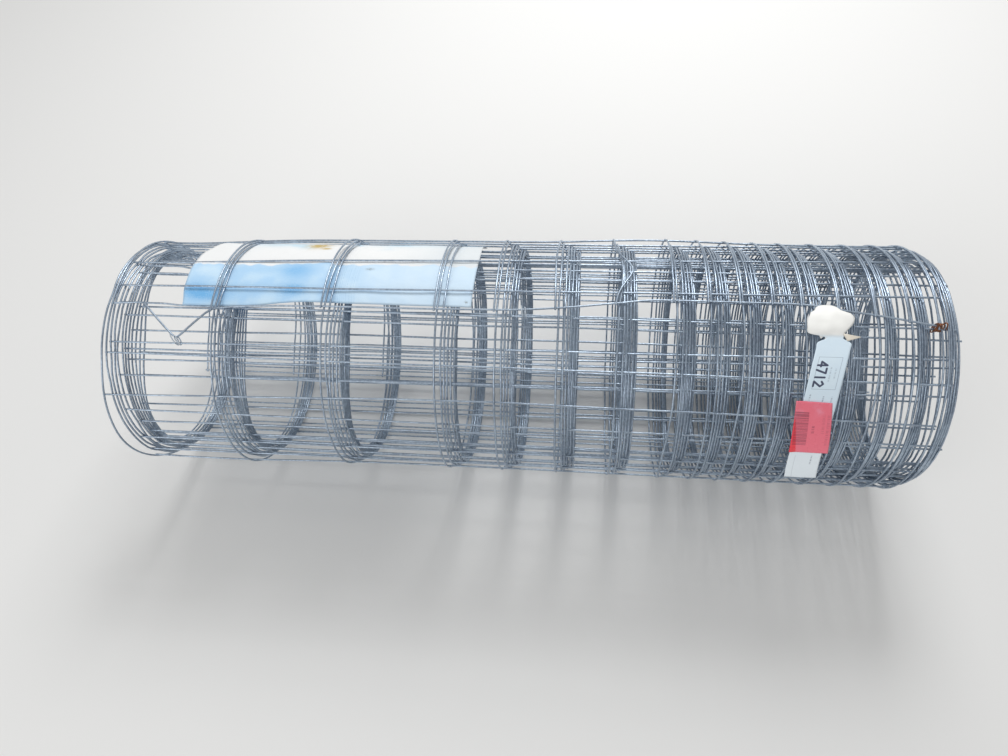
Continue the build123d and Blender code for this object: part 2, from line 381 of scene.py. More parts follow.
def placeOnRollTree():  # where a point of the flat mesh comes to lie on the roll
    inputs = {"Turn": 0.0, "Place": 0.0, "Depth": 0.0, **rollSizes}
    tree, size = startTree("placeOnRoll", inputs, "NodeSocketVector")
    turn, place = size["Turn"], size["Place"]
    atEnd = ramp(turn, endRoute["fade"], 0.0)
    angle = size["End angle"] + turn * math.tau + endWireBend(size, place) * atEnd
    loose = (turn - size["Tight turns"]).calc("MAXIMUM", 0)
    flattened = (angle - size["Flat angle"]).calc("COSINE").calc("POWER", 2)
    radius = size["Outer radius"] - size["Turn gap"] * turn
    radius = radius - size["Gap growth"] * loose * (loose + 1) / 2 * flattened
    radius = radius + hill(place - endRoute["knot"], endRoute["knotWidth"]) * atEnd * endRoute["knotLift"]
    for middle, where, halfTurn, halfPlace, height in roll["bulges"]:
        bulge = hill(turn - middle, halfTurn) * hill(place - where * mm, halfPlace * mm)
        radius = radius + bulge * (height * mm)

    degrees = (angle * (180 / math.pi)).calc("FLOORED_MODULO", 360)
    for middle, where, halfAngle, halfPlace, depth in roll["dents"]:
        dent = hill(degrees - middle, halfAngle) * hill(place - where * mm, halfPlace * mm)
        radius = radius - dent * (depth * mm)

    # a cross wire of the turn outside presses this turn in
    outside = turn - 1
    outside = arcLength(size, outside - stepError(outside))
    fromCross = ((outside / size["Cross spacing"] + 0.5).calc("FRACT") - 0.5) * size["Cross spacing"]
    pressed = hill(fromCross, size["Dip width"])
    pressed = pressed * ramp(turn, *roll["dipStarts"]) * ramp(turn, *roll["dipEnds"])
    radius = radius - pressed * size["Dip"]

    early = turn.calc("MAXIMUM", 0).calc("MINIMUM", size["Slip turn"]) / size["Slip turn"]
    late = (turn - size["Slip turn"]).calc("MAXIMUM", 0) / (size["Turns"] - size["Slip turn"])
    slip = early * size["Side slip"] - late * late * (size["Side slip"] - size["Inner slip"])
    slip = slip - ramp(place, *roll["skewPlaces"]) * ramp(turn, *roll["skewTurns"]) * roll["skew"]
    pulled = hill(turn, roll["pulledTurns"]) * ramp(place, roll["pulledPlaces"], 0.0)
    slip = slip + pulled * roll["pulledIn"]
    flared = hill(turn - roll["flareMiddle"], roll["flareTurns"]) * ramp(place, roll["flarePlaces"], 0.0)
    slip = slip - flared * roll["flare"]

    across = angle.calc("COSINE") * radius
    upward = angle.calc("SINE") * radius
    inputs = {"X": place * waves["alongRoll"], "Y": across, "Z": upward}
    where = addNode(tree, "ShaderNodeCombineXYZ", inputs)
    wobble = addNode(tree, "ShaderNodeTexNoise", {
        "Vector": where, "W": turn * waves["fromTurnToTurn"] + size["Seed"] * waves["seedStep"],
        "Scale": waves["scale"], "Detail": 1.0,
    }, output="Color", noise_dimensions="4D")
    part = addNode(tree, "ShaderNodeSeparateXYZ", {"Vector": wobble})
    slip = slip + (part - 0.5) * size["Waviness"]
    radius = radius + (part.also("Y") - 0.5) * size["Waviness"] * waves["inward"]
    angle = angle + (part.also("Z") - 0.5) * size["Waviness"] * waves["round"] / radius

    underLabel = ramp(degrees, labelSeat["low"] - labelSeat["softAngle"], labelSeat["low"]) \
        * ramp(degrees, labelSeat["high"] + labelSeat["softAngle"], labelSeat["high"]) \
        * ramp(place, labelSeat["left"] - labelSeat["softPlace"], labelSeat["left"]) \
        * ramp(place, labelSeat["right"] + labelSeat["softPlace"], labelSeat["right"]) \
        * turn.calc("GREATER_THAN", labelSeat["turn"]) \
        * ramp(turn, labelSeat["lastTurn"], labelSeat["turn"])
    radius = radius - underLabel * labelSeat["push"] - size["Depth"]

    position = {
        "X": size["Left"] + place + slip,
        "Y": angle.calc("COSINE") * radius * -1,
        "Z": (size["Axis height"] + angle.calc("SINE") * radius).calc("MAXIMUM", size["Wire radius"]),
    }
    return endTree(tree, addNode(tree, "ShaderNodeCombineXYZ", position))


placeOnRoll = placeOnRollTree()


def onRoll(tree, size, turn, place, depth):
    inputs = {title: size[title] for title in rollSizes}
    inputs.update({"Turn": turn, "Place": place, "Depth": depth})
    return addNode(tree, "GeometryNodeGroup", inputs, node_tree=placeOnRoll)


def store(tree, geometry, title, value):
    inputs = {"Geometry": geometry, "Name": title, "Value": value}
    return addNode(tree, "GeometryNodeStoreNamedAttribute", inputs, data_type="FLOAT", domain="POINT")


def recall(tree, title):
    return addNode(tree, "GeometryNodeInputNamedAttribute", {"Name": title}, data_type="FLOAT")


def unitLine(tree, steps):  # a straight line from 0 to 1 with evenly spread points
    line = addNode(tree, "GeometryNodeCurvePrimitiveLine", {"End": (1.0, 0.0, 0.0)})
    return addNode(tree, "GeometryNodeResampleCurve", {"Curve": line, "Count": steps})


def wireFromCurve(tree, curve, radius, sides, material):
    profile = addNode(tree, "GeometryNodeCurvePrimitiveCircle", {"Resolution": sides, "Radius": radius})
    inputs = {"Curve": curve, "Profile Curve": profile, "Fill Caps": True}
    wire = addNode(tree, "GeometryNodeCurveToMesh", inputs)
    wire = addNode(tree, "GeometryNodeSetShadeSmooth", {"Geometry": wire})
    wire = addNode(tree, "GeometryNodeRealizeInstances", {"Geometry": wire})
    return addNode(tree, "GeometryNodeSetMaterial", {"Geometry": wire, "Material": material})


kinks = [  # line wires bent sideways: number from the left, from 0, turn, half length in turns, how far
    (7, 0.78, 0.08, -4 * mm),
    (9, 0.80, 0.08, -3 * mm),
    (13, 0.82, 0.07, -4 * mm),
    (6, 0.050, 0.028, 15 * mm),
    (6, 1.05, 0.05, 4 * mm),
    (5, 0.07, 0.06, -2 * mm),
    (2, 1.10, 0.05, 2.5 * mm),
    (8, 0.93, 0.05, -2 * mm),
]


def lineWiresTree():
    tree, size = startTree("lineWires", lineWireSizes)
    factor = addNode(tree, "GeometryNodeSplineParameter")
    line = store(tree, unitLine(tree, roll["lineWireSteps"]), "along", factor)
    points = addNode(tree, "GeometryNodePoints", {"Count": size["Line wires"]})
    points = store(tree, points, "wireNumber", addNode(tree, "GeometryNodeInputIndex"))
    wires = addNode(tree, "GeometryNodeInstanceOnPoints", {"Points": points, "Instance": line})
    wires = addNode(tree, "GeometryNodeRealizeInstances", {"Geometry": wires})

    along, number = recall(tree, "along"), recall(tree, "wireNumber")
    early = roll["looseEnd"] / (rollSizes["Outer radius"] * math.tau)
    late = roll["looseEnd"] / (roll["innerRadius"] * math.tau)
    early = (number.calc("COMPARE", lineWireCount - 1, 0.5) + 1) * early  # the last wire sticks out further
    spread = along * (1 - roll["outerSteps"]) + along * along * roll["outerSteps"]
    turn = spread * (size["Turns"] + early + late) - early
    place = placeOfWire(number)
    for wire, middle, half, bend in kinks:
        place = place + hill(turn - middle, half) * number.calc("COMPARE", wire, 0.5) * bend
    position = onRoll(tree, size, turn, place, 0.0)
    wires = addNode(tree, "GeometryNodeSetPosition", {"Geometry": wires, "Position": position})
    return endTree(tree, wireFromCurve(tree, wires, size["Wire radius"], roll["wireSides"], galvanizedWire))


def crossWiresTree():
    tree, size = startTree("crossWires", crossWireSizes)
    factor = addNode(tree, "GeometryNodeSplineParameter")

    # an even spiral, so far off the roll's end that no knot or bulge reaches it, cut at the wires' spacing
    spiral = store(tree, unitLine(tree, roll["spiralSteps"]), "turn", factor * size["Turns"])
    turn = recall(tree, "turn")
    evenSizes = {**size, "Waviness": 0.0, "Dip": 0.0, "Side slip": 0.0, "Inner slip": 0.0}
    position = onRoll(tree, evenSizes, turn, size["Left"] * 0 - 1.0, 0.0)
    spiral = addNode(tree, "GeometryNodeSetPosition", {"Geometry": spiral, "Position": position})
    cut = {"Curve": spiral, "Length": size["Cross spacing"]}
    spots = addNode(tree, "GeometryNodeResampleCurve", cut, mode="LENGTH")
    spots = store(tree, spots, "lean", stepError(turn, 1))
    spots = store(tree, spots, "bend", stepError(turn, 2))
    spots = store(tree, spots, "turn", turn + stepError(turn))

    def leaning(place):
        fromMiddle = place - rollWidth / 2
        return turn + recall(tree, "lean") * fromMiddle + recall(tree, "bend") * fromMiddle.calc("ABSOLUTE")

    # cross wires
    line = store(tree, unitLine(tree, roll["crossWireSteps"]), "along", factor)
    wires = addNode(tree, "GeometryNodeInstanceOnPoints", {"Points": spots, "Instance": line})
    wires = addNode(tree, "GeometryNodeRealizeInstances", {"Geometry": wires})
    place = recall(tree, "along") * (rollWidth + 2 * roll["overhang"]) - roll["overhang"]
    position = onRoll(tree, size, leaning(place), place, size["Sink"])
    wires = addNode(tree, "GeometryNodeSetPosition", {"Geometry": wires, "Position": position})
    wires = wireFromCurve(tree, wires, size["Wire radius"], roll["wireSides"], galvanizedWire)

    # a lump of zinc at each weld
    marks = addNode(tree, "GeometryNodePoints", {"Count": size["Line wires"]})
    marks = store(tree, marks, "wireNumber", addNode(tree, "GeometryNodeInputIndex"))
    marks = addNode(tree, "GeometryNodeInstanceOnPoints", {"Points": spots, "Instance": marks})
    marks = addNode(tree, "GeometryNodeRealizeInstances", {"Geometry": marks})
    place = placeOfWire(recall(tree, "wireNumber"))
    position = onRoll(tree, size, leaning(place), place, size["Sink"] / 2)
    marks = addNode(tree, "GeometryNodeSetPosition", {"Geometry": marks, "Position": position})
    lump = addNode(tree, "GeometryNodeMeshIcoSphere", {"Radius": size["Weld radius"], "Subdivisions": 1})
    lumps = addNode(tree, "GeometryNodeInstanceOnPoints", {"Points": marks, "Instance": lump})
    lumps = addNode(tree, "GeometryNodeRealizeInstances", {"Geometry": lumps})
    lumps = addNode(tree, "GeometryNodeSetShadeSmooth", {"Geometry": lumps})
    lumps = addNode(tree, "GeometryNodeSetMaterial", {"Geometry": lumps, "Material": galvanizedWire})
    return endTree(tree, addNode(tree, "GeometryNodeJoinGeometry", {"Geometry": [wires, lumps]}))


lineWires = growPiece("line_wires", lineWiresTree(), lineWireSizes)
crossWires = growPiece("cross_wires", crossWiresTree(), crossWireSizes)
for piece in (lineWires, crossWires):
    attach(piece, "root")
    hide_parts("mesh_roll")
print("roll of mesh made")


# Sheets of paper, bent to the roll

def blendAlong(points, value):  # smooth steps between (value, result) points
    if value <= points[0][0]:
        return points[0][1]
    for (start, first), (end, second) in zip(points, points[1:]):
        if value <= end:
            return first + (second - first) * smooth(progress(value, start, end))
    return points[-1][1]


def onRollAt(place, angle, height):  # mm from the left line wire, degrees, mm over the outermost wires
    angle = math.radians(angle)
    radius = rollSizes["Outer radius"] + height * mm
    return Vector((rollSizes["Left"] + place * mm, -radius * math.cos(angle),
                   rollSizes["Axis height"] + radius * math.sin(angle)))


def ruffle(place, angle, grain, seed):  # unevenness from about -1 to 1, grain in mm
    where = Vector((place / grain, angle * 1.9 / grain, seed))
    return noise.noise(where) * 1.4


def bendSheets(name, sheets, materials):  # closed thin sheets in one piece, with their flat sizes as UV map
    sidewaysNudge, upwardNudge = 0.01, 0.002  # shares of a sheet over which its slope is taken
    points, faces, flats, slots = [], [], [], []
    for shape, columns, rows, thickness, slot in sheets:
        first = len(points)
        flat = []
        length = 0.0
        for side in (0, thickness * mm):
            for row in range(rows + 1):
                along = row / rows
                middle = shape(0.5, along)
                if side == 0:
                    length += (middle - shape(0.5, max(along - 1 / rows, 0))).length
                for column in range(columns + 1):
                    across = column / columns
                    point = shape(across, along)
                    sideways = shape(across + sidewaysNudge, along) - shape(across - sidewaysNudge, along)
                    upward = shape(across, along + upwardNudge) - shape(across, along - upwardNudge)
                    points.append(point - sideways.cross(upward).normalized() * side)
                    if side == 0:
                        flat.append((math.copysign((point - middle).length, across - 0.5), length))
        flats += flat + flat
        width, count = columns + 1, (columns + 1) * (rows + 1)
        edge = [(row, 0, row + 1, 0) for row in range(rows)]
        edge += [(rows, column, rows, column + 1) for column in range(columns)]
        edge += [(row + 1, columns, row, columns) for row in range(rows)]
        edge += [(0, column + 1, 0, column) for column in range(columns)]
        for row in range(rows):
            for column in range(columns):
                corner = first + row * width + column
                quad = [corner, corner + 1, corner + width + 1, corner + width]
                faces.append(quad)
                faces.append([place + count for place in reversed(quad)])
        for startRow, startColumn, endRow, endColumn in edge:
            start = first + startRow * width + startColumn
            end = first + endRow * width + endColumn
            faces.append([start, end, end + count, start + count])
        slots += [slot] * (len(faces) - len(slots))
    mesh = bpy.data.meshes.new(name)
    mesh.from_pydata(points, [], faces)
    layer = mesh.uv_layers.new(name="flat")
    for loop in mesh.loops:
        layer.data[loop.index].uv = flats[loop.vertex_index]
    for material in materials:
        mesh.materials.append(material)
    for face, slot in zip(mesh.polygons, slots):
        face.material_index = slot
        face.use_smooth = True
    piece = bpy.data.objects.new(name, mesh)
    bpy.context.scene.collection.objects.link(piece)
    print(f"{name}: {len(points)} points, {len(faces)} faces")
    return piece


def flatPlace(tree, across, along):  # the UV map in mm, moved so that the place given is at its origin
    shift = {"Location": (-across, -along, 0), "Scale": (1000, 1000, 1)}
    return addNode(tree, "ShaderNodeMapping", {"Vector": addNode(tree, "ShaderNodeUVMap"), **shift})


def parted(tree, where):
    part = addNode(tree, "ShaderNodeSeparateXYZ", {"Vector": where})
    return part, part.also("Y")


def softMarks(tree, rows):  # soft round marks: across, along, wide, high and strength
    marks = 0
    for across, along, wide, high, strength in rows:
        x, y = parted(tree, flatPlace(tree, across, along))
        away = ((x / wide).calc("POWER", 2) + (y / high).calc("POWER", 2)).calc("SQRT")
        marks = hill(away, 1) * strength + marks
    return marks


def band(value, low, high, soft=0.2):
    return ramp(value, low - soft, low + soft) * ramp(value, high + soft, high - soft)


def dashes(tree, value, grain, filled, seed=0):  # 1 in dashes of uneven length along a value
    inputs = {"W": value + seed, "Scale": grain, "Detail": 1.0}
    rough = addNode(tree, "ShaderNodeTexNoise", inputs, noise_dimensions="1D")
    return ramp(rough, 1 - filled, 1 - filled + 0.03)


def printLines(tree, here, rows, half, soft, grain, filled):  # rows: across, along from and to, strength
    across, along = parted(tree, here)
    ink = 0
    for line, start, end, strength in rows:
        row = band(across, line - half, line + half, soft) * band(along, start, end)
        ink = row * dashes(tree, along, grain, filled, line) * strength + ink
    return ink


# The label, tucked under the outer turns

label = {
    "lowEdge": [(70, 78.4), (118, 78.3), (185, 81.4), (234, 80.9), (333, 80.4)],  # place and angle
    "leftEdge": [(78.4, 70.6), (90, 67.3), (103, 66.0), (112, 66.0), (125, 69.0)],  # angle and place
    "rightEdge": [(80, 332.3), (112, 333.1), (139, 331)],
    "highAngle": 149,
    "height": -5.65,
    "ripple": 0.45,
    "ripples": [(42, 3.1, 0.8), (15, 8.7, 0.35)],  # grain, seed and share
    "thickness": 0.25,
    "grid": (110, 56),  # columns and rows of faces
    "borderAlong": 46.5,  # mm from the low edge to the white band
    "borderWaver": 12,
    "blotches": [  # across, along, wide, high and strength of each mark
        (-122, 15, 14, 9, 0.9), (-108, 10, 18, 7, 0.7), (-30, 36, 15, 11, 0.9), (-30, 13, 14, 8, 0.9),
        (-78, 16, 26, 10, 0.45), (-60, 40, 24, 8, 0.35), (3, 20, 6, 24, 0.55),
    ],
    # painted shade: blue-grey patches on the white band, for the shade of the paper's ripples
    "paintedShadePatches": [(-66, 96, 32, 14, 0.8), (60, 99, 42, 14, 0.5)],
    "stains": [(-29, 92, 10, 11, 1.3), (-18, 79, 4, 2.5, 1.3)],
    "specks": [(36, 40, 3.5, 1.6, 0.9), (127, 5, 1.5, 1.2, 0.9)],
    "blue": (0.46, 0.69, 0.92, 1),
    "paleBlue": (0.60, 0.79, 0.94, 1),
    "fadedBlue": (0.66, 0.80, 0.92, 1),
    "deepBlue": (0.17, 0.46, 0.80, 1),
    "streakBlue": (0.28, 0.50, 0.70, 1),
    "white": (0.86, 0.87, 0.87, 1),
    "greyWhite": (0.74, 0.78, 0.80, 1),
    # colour of the painted shade on the white band
    "paintedShadeBlue": (0.58, 0.75, 0.86, 1),
    "stainBrown": (0.55, 0.40, 0.13, 1),
    "speckGrey": (0.20, 0.22, 0.22, 1),
}


def labelShape(across, along):
    middle = blendAlong(label["leftEdge"], 90) * (1 - across) + blendAlong(label["rightEdge"], 90) * across
    low = blendAlong(label["lowEdge"], middle)
    angle = low + (label["highAngle"] - low) * along
    left, right = blendAlong(label["leftEdge"], angle), blendAlong(label["rightEdge"], angle)
    place = left * (1 - across) + right * across
    ripple = sum(ruffle(place, angle, grain, seed) * part for grain, seed, part in label["ripples"])
    return onRollAt(place, angle, label["height"] + label["ripple"] * ripple)


def labelPaper():
    material, tree, shader = newMaterial("labelPaper")
    here = flatPlace(tree, 0, 0)
    across, along = parted(tree, here)
    cloud = ramp(speckle(tree, 0.045, 4, here), 0.36, 0.66)
    grain = ramp(speckle(tree, 0.9, 3, here), 0.30, 0.70)
    wash = blendColours(tree, cloud, label["blue"], label["paleBlue"])
    wash = blendColours(tree, ramp(across, -40, 90) * 0.75, wash, label["fadedBlue"])
    deep = softMarks(tree, label["blotches"]) * (grain * 0.5 + 0.65) * (cloud * 0.4 + 0.75)
    wash = blendColours(tree, deep, wash, label["deepBlue"])
    streaks = ramp(across, 2, 8) * ramp(across, 34, 22) * dashes(tree, across, 1.1, 0.46) * 0.55
    wash = blendColours(tree, streaks * grain, wash, label["streakBlue"])

    inputs = {"W": across, "Scale": 0.06, "Detail": 1.5}
    waver = addNode(tree, "ShaderNodeTexNoise", inputs, noise_dimensions="1D")
    height = along + (waver - 0.5) * label["borderWaver"]
    white = ramp(height, label["borderAlong"] - 1.2, label["borderAlong"] + 1.2)
    # painted shade: blue-grey speckle and patches near the top of the white band, standing in for the shade
    # of the paper's ripples
    shade = ramp(speckle(tree, 0.03, 2, here), 0.52, 0.68) + softMarks(tree, label["paintedShadePatches"])
    upper = blendColours(tree, ramp(across, 40, 110), label["white"], label["greyWhite"])
    upper = blendColours(tree, shade * ramp(along, 68, 94), upper, label["paintedShadeBlue"])
    colour = blendColours(tree, white, wash, upper)
    stain = softMarks(tree, label["stains"]) * ramp(speckle(tree, 0.25, 2, here), 0.28, 0.5)
    colour = blendColours(tree, stain, colour, label["stainBrown"])
    speck = softMarks(tree, label["specks"]) * ramp(speckle(tree, 1.2, 1, here), 0.42, 0.5)
    colour = blendColours(tree, speck, colour, label["speckGrey"])
    setShader(tree, shader, Base_Color=colour, Roughness=cloud * 0.15 + 0.55)
    addBump(tree, shader, speckle(tree, 0.10, 4, here), 1.2 * mm, 0.5)
    return material


labelSheet = bendSheets("label_sheet", [
    (labelShape, *label["grid"], label["thickness"], 0),
], [labelPaper()])

# The tag: a strip down the front of the roll, and a head looped round the end cross wire

tag = {
    # angle, height, middle's place and half width, from the low end up and round the loop
    "route": [
        (3.4, 5.6, 618.8, 13.1), (11, 4.0, 616.9, 13.0), (20.1, 2.6, 616.2, 12.9),
        (32.1, 2.0, 616.9, 12.9), (43.8, 1.8, 619.1, 13.0), (55.4, 1.8, 622.4, 13.1),
        (64.5, 1.9, 626.1, 13.1), (67.2, 2.0, 627.0, 12.8), (68.9, 2.2, 627.4, 6.8),
        (69.7, 2.4, 626.6, 7.6), (71.0, 3.2, 621.2, 13.4), (73.6, 4.0, 623.0, 16.4),
        (76, 4.3, 624.8, 17.8), (78.4, 4.2, 625.6, 16.8), (80.3, 3.4, 624.8, 14.4),
        (81.7, 2.5, 624.1, 11.8), (83.0, 1.4, 623.8, 9.9), (84.0, -0.2, 623.7, 9.3),
        (84.0, -2.2, 623.7, 9.1), (82.7, -3.5, 623.7, 9.1), (80.9, -3.3, 623.7, 9.2),
        (78.6, -1.4, 623.7, 9.3), (76.2, 0.4, 623.8, 9.5), (73.3, 1.3, 624.2, 9.6),
        (70.4, 1.6, 625.0, 8.0),
    ],
    "stripRows": 8,  # how many of them make the straight strip
    "thickness": 0.25,
    "grid": (20, 170),
    "tailGrid": (8, 6),
    "headStarts": (0.38, 0.43),  # shares of the route
    "headEnds": (0.66, 0.62),
    "foldStarts": (0.57, 0.65),
    "foldBack": 1.6,  # degrees by which the edges fold back behind the loop
    "droop": 1.4,  # of the head's edges
    "crumple": 0.7,
    "crumpleGrain": 9,
    "ripple": 0.25,
    "rippleGrain": 30,
    "tail": [(633.0, 71.2), (637.0, 68.1), (646.7, 69.7)],  # upper and lower root, and tip: place and angle
    "tailHeight": 2.5,
    "tailLift": 0.8,
    "tailTilt": 0.5,
    "tailTip": 0.06,  # the tip's width, as a share of the root's
    "frame": (-9.1, 9.1, 91.6, 118.2),  # printed frame: across from and to, along from and to
    "digitCorner": (-8.6, 114.2),
    "digitHeight": 7.4,
    "digitWidth": 3.9,
    "digitStep": 5.4,
    "digitLine": 0.78,
    "number": "4712",
    "edgeLine": (-7.8, -7.4),
    "smallPrint": [  # across, along from and to, and strength
        (2.2, 98, 110, 0.30), (6.0, 100, 109, 0.28), (5.5, 19, 29, 0.55),
        (-8.8, 82, 88, 0.45), (1.6, 81, 86, 0.5), (8.1, 81, 86, 0.40),
    ],
    # painted shade: the paper is white; the strip's blue tint stands in for skylight in shade, and the head
    # keeps the paper's own white
    "paintedShadeBlueWhite": (0.72, 0.87, 1.00, 1),
    "paintedShadePaleBlueWhite": (0.79, 0.92, 1.00, 1),
    "headWhite": (0.93, 0.93, 0.90, 1),
    # painted light: the low end of the strip is made lighter
    "paintedLightLowWhite": (0.90, 0.96, 1.0, 1),
    "ink": (0.03, 0.035, 0.09, 1),
}
strokes = {  # each digit's strokes, from point to point in a square from 0 to 1
    "1": [(0.5, 0, 0.5, 1)],
    "2": [(0, 0.8, 0.5, 1), (0.5, 1, 1, 0.72), (1, 0.72, 0, 0), (0, 0, 1, 0)],
    "4": [(0.75, 0, 0.75, 1), (0.75, 1, 0, 0.35), (0, 0.35, 1, 0.35)],
    "7": [(0, 1, 1, 1), (1, 1, 0.35, 0)],
}


def spline(points, value):  # a smooth curve through rows of numbers, value from 0 to 1
    step = min(max(value, 0.0), 1.0) * (len(points) - 1)
    index = min(int(step), len(points) - 2)
    share = step - index
    near = [points[min(max(index + offset, 0), len(points) - 1)] for offset in (-1, 0, 1, 2)]
    result = []
    for before, first, second, after in zip(*near):
        slope = (second - before) / 2
        nextSlope = (after - first) / 2
        bend = 3 * (second - first) - 2 * slope - nextSlope
        twist = slope + nextSlope - 2 * (second - first)
        result.append(first + slope * share + bend * share ** 2 + twist * share ** 3)
    return result


def tagShape(across, along):
    angle, height, middle, half = spline(tag["route"], along)
    place = middle + (across - 0.5) * 2 * half
    nearEdge = abs(across * 2 - 1) ** 3
    angle -= tag["foldBack"] * progress(along, *tag["foldStarts"]) * nearEdge
    inHead = progress(along, *tag["headStarts"]) * progress(along, *tag["headEnds"])
    lift = ruffle(place, angle, tag["crumpleGrain"], 1.7) * tag["crumple"] * inHead
    lift += ruffle(place, angle, tag["rippleGrain"], 5.2) * tag["ripple"]
    return onRollAt(place, angle, height + lift - tag["droop"] * inHead * nearEdge)


def tailShape(across, along):
    upper, lower, tip = (Vector(point) for point in tag["tail"])
    root = lower.lerp(upper, along)
    narrow = tip + (root - (upper + lower) / 2) * tag["tailTip"]
    place, angle = root.lerp(narrow, across)
    height = tag["tailHeight"] + tag["tailLift"] * across + tag["tailTilt"] * (along - 0.5)
    return onRollAt(place, angle, height)


def strokeMark(tree, where, start, end, width):  # 1 within half the width of the line from start to end
    start, end = Vector((*start, 0)), Vector((*end, 0))
    line = end - start
    away = addNode(tree, "ShaderNodeVectorMath", {0: where, 1: start}, operation="SUBTRACT")
    inputs = {0: away, 1: line / line.length_squared}
    reached = addNode(tree, "ShaderNodeVectorMath", inputs, output="Value", operation="DOT_PRODUCT")
    reached = reached.calc("MAXIMUM", 0).calc("MINIMUM", 1)
    nearest = addNode(tree, "ShaderNodeVectorMath", {0: tuple(line), "Scale": reached}, operation="SCALE")
    gap = addNode(tree, "ShaderNodeVectorMath", {0: away, 1: nearest}, output="Value", operation="DISTANCE")
    return ramp(gap, width + 0.15, width - 0.15)


def tagPaper():
    material, tree, shader = newMaterial("tagPaper")
    here = flatPlace(tree, 0, 0)
    across, along = parted(tree, here)
    mottle = speckle(tree, 0.08, 3, here)
    # painted shade: blue-tinted whites over the strip, blending to the paper's own white at the head
    colour = blendColours(tree, mottle, tag["paintedShadeBlueWhite"], tag["paintedShadePaleBlueWhite"])
    colour = blendColours(tree, ramp(along, 132, 142), colour, tag["headWhite"])
    # painted light: the low end of the strip is made lighter
    colour = blendColours(tree, ramp(along, 70, 20) * 0.8, colour, tag["paintedLightLowWhite"])

    left, right, low, high = tag["frame"]
    frameLine = 0.35
    inside = band(across, left, right, 0.1) * band(along, low, high, 0.1)
    core = band(across, left + frameLine, right - frameLine, 0.1) \
        * band(along, low + frameLine, high - frameLine, 0.1)
    ink = (inside - core) * 0.45
    ink = ink + band(across, *tag["edgeLine"], 0.15) * ramp(along, 30, 28) * 0.25
    ink = ink + printLines(tree, here, tag["smallPrint"], 0.6, 0.2, 1.3, 0.52)
    cornerAcross, cornerAlong = tag["digitCorner"]
    for index, digit in enumerate(tag["number"]):
        digitAlong = cornerAlong - index * tag["digitStep"]
        for x0, y0, x1, y1 in strokes[digit]:
            start = (cornerAcross + y0 * tag["digitHeight"], digitAlong - x0 * tag["digitWidth"])
            end = (cornerAcross + y1 * tag["digitHeight"], digitAlong - x1 * tag["digitWidth"])
            ink = ink.calc("MAXIMUM", strokeMark(tree, here, start, end, tag["digitLine"]) * 0.95)
    colour = blendColours(tree, ink, colour, tag["ink"])
    setShader(tree, shader, Base_Color=colour, Roughness=mottle * 0.2 + 0.45)
    addBump(tree, shader, speckle(tree, 0.12, 3, here), 0.5 * mm, 0.4)
    return material


def plainPaper(name, first, second):
    material, tree, shader = newMaterial(name)
    here = flatPlace(tree, 0, 0)
    mottle = speckle(tree, 0.15, 3, here)
    colour = blendColours(tree, mottle, first, second)
    setShader(tree, shader, Base_Color=colour, Roughness=mottle * 0.2 + 0.5)
    addBump(tree, shader, mottle, 0.4 * mm, 0.4)
    return material


creamBack = plainPaper("creamPaperBack", (0.80, 0.72, 0.58, 1), (0.90, 0.86, 0.78, 1))
lotTag = bendSheets("lot_tag", [
    (tagShape, *tag["grid"], tag["thickness"], 0),
    (tailShape, *tag["tailGrid"], tag["thickness"], 1),
], [tagPaper(), creamBack])

# The red sticker across the tag

sticker = {
    "corners": [(602.1, 19.5), (633.5, 19.3), (628.4, 43.1), (600.2, 43.7)],  # from low left round
    "height": 2.35,
    "gap": 0.55,  # over the strip
    "ripple": 0.12,
    "curl": 0.8,  # of its left edge's corners
    "curlPart": 0.15,  # share of the width that curls
    "thickness": 0.15,
    "grid": (24, 36),
    "bars": (-14.2, -3.2, 8, 39.5),  # across from and to, along from and to
    "smallPrint": [(0.8, 20, 28, 0.55), (8.6, 20, 38, 0.22), (12.2, 8, 38, 0.30)],
    "red": (0.92, 0.055, 0.08, 1),
    "redOverStrip": (0.94, 0.20, 0.27, 1),
    # painted sheen: a pink highlight colour blended into the base colour
    "paintedPinkSheen": (0.95, 0.38, 0.50, 1),
    "ink": (0.16, 0.03, 0.06, 1),
}
stripAngles = [  # angle, and the share of the tag's route where the strip has it
    (row[0], index / (len(tag["route"]) - 1))
    for index, row in enumerate(tag["route"][:tag["stripRows"]])
]


def stickerShape(across, along):
    lowLeft, lowRight, highRight, highLeft = (Vector(corner) for corner in sticker["corners"])
    place, angle = lowLeft.lerp(lowRight, across).lerp(highLeft.lerp(highRight, across), along)
    stripHeight = spline(tag["route"], blendAlong(stripAngles, angle))[1]
    height = max(stripHeight + sticker["gap"], sticker["height"])
    curl = sticker["curl"] * max(1 - across / sticker["curlPart"], 0) * abs(along * 2 - 1) ** 2
    return onRollAt(place, angle, height + curl + ruffle(place, angle, 20, 2.2) * sticker["ripple"])


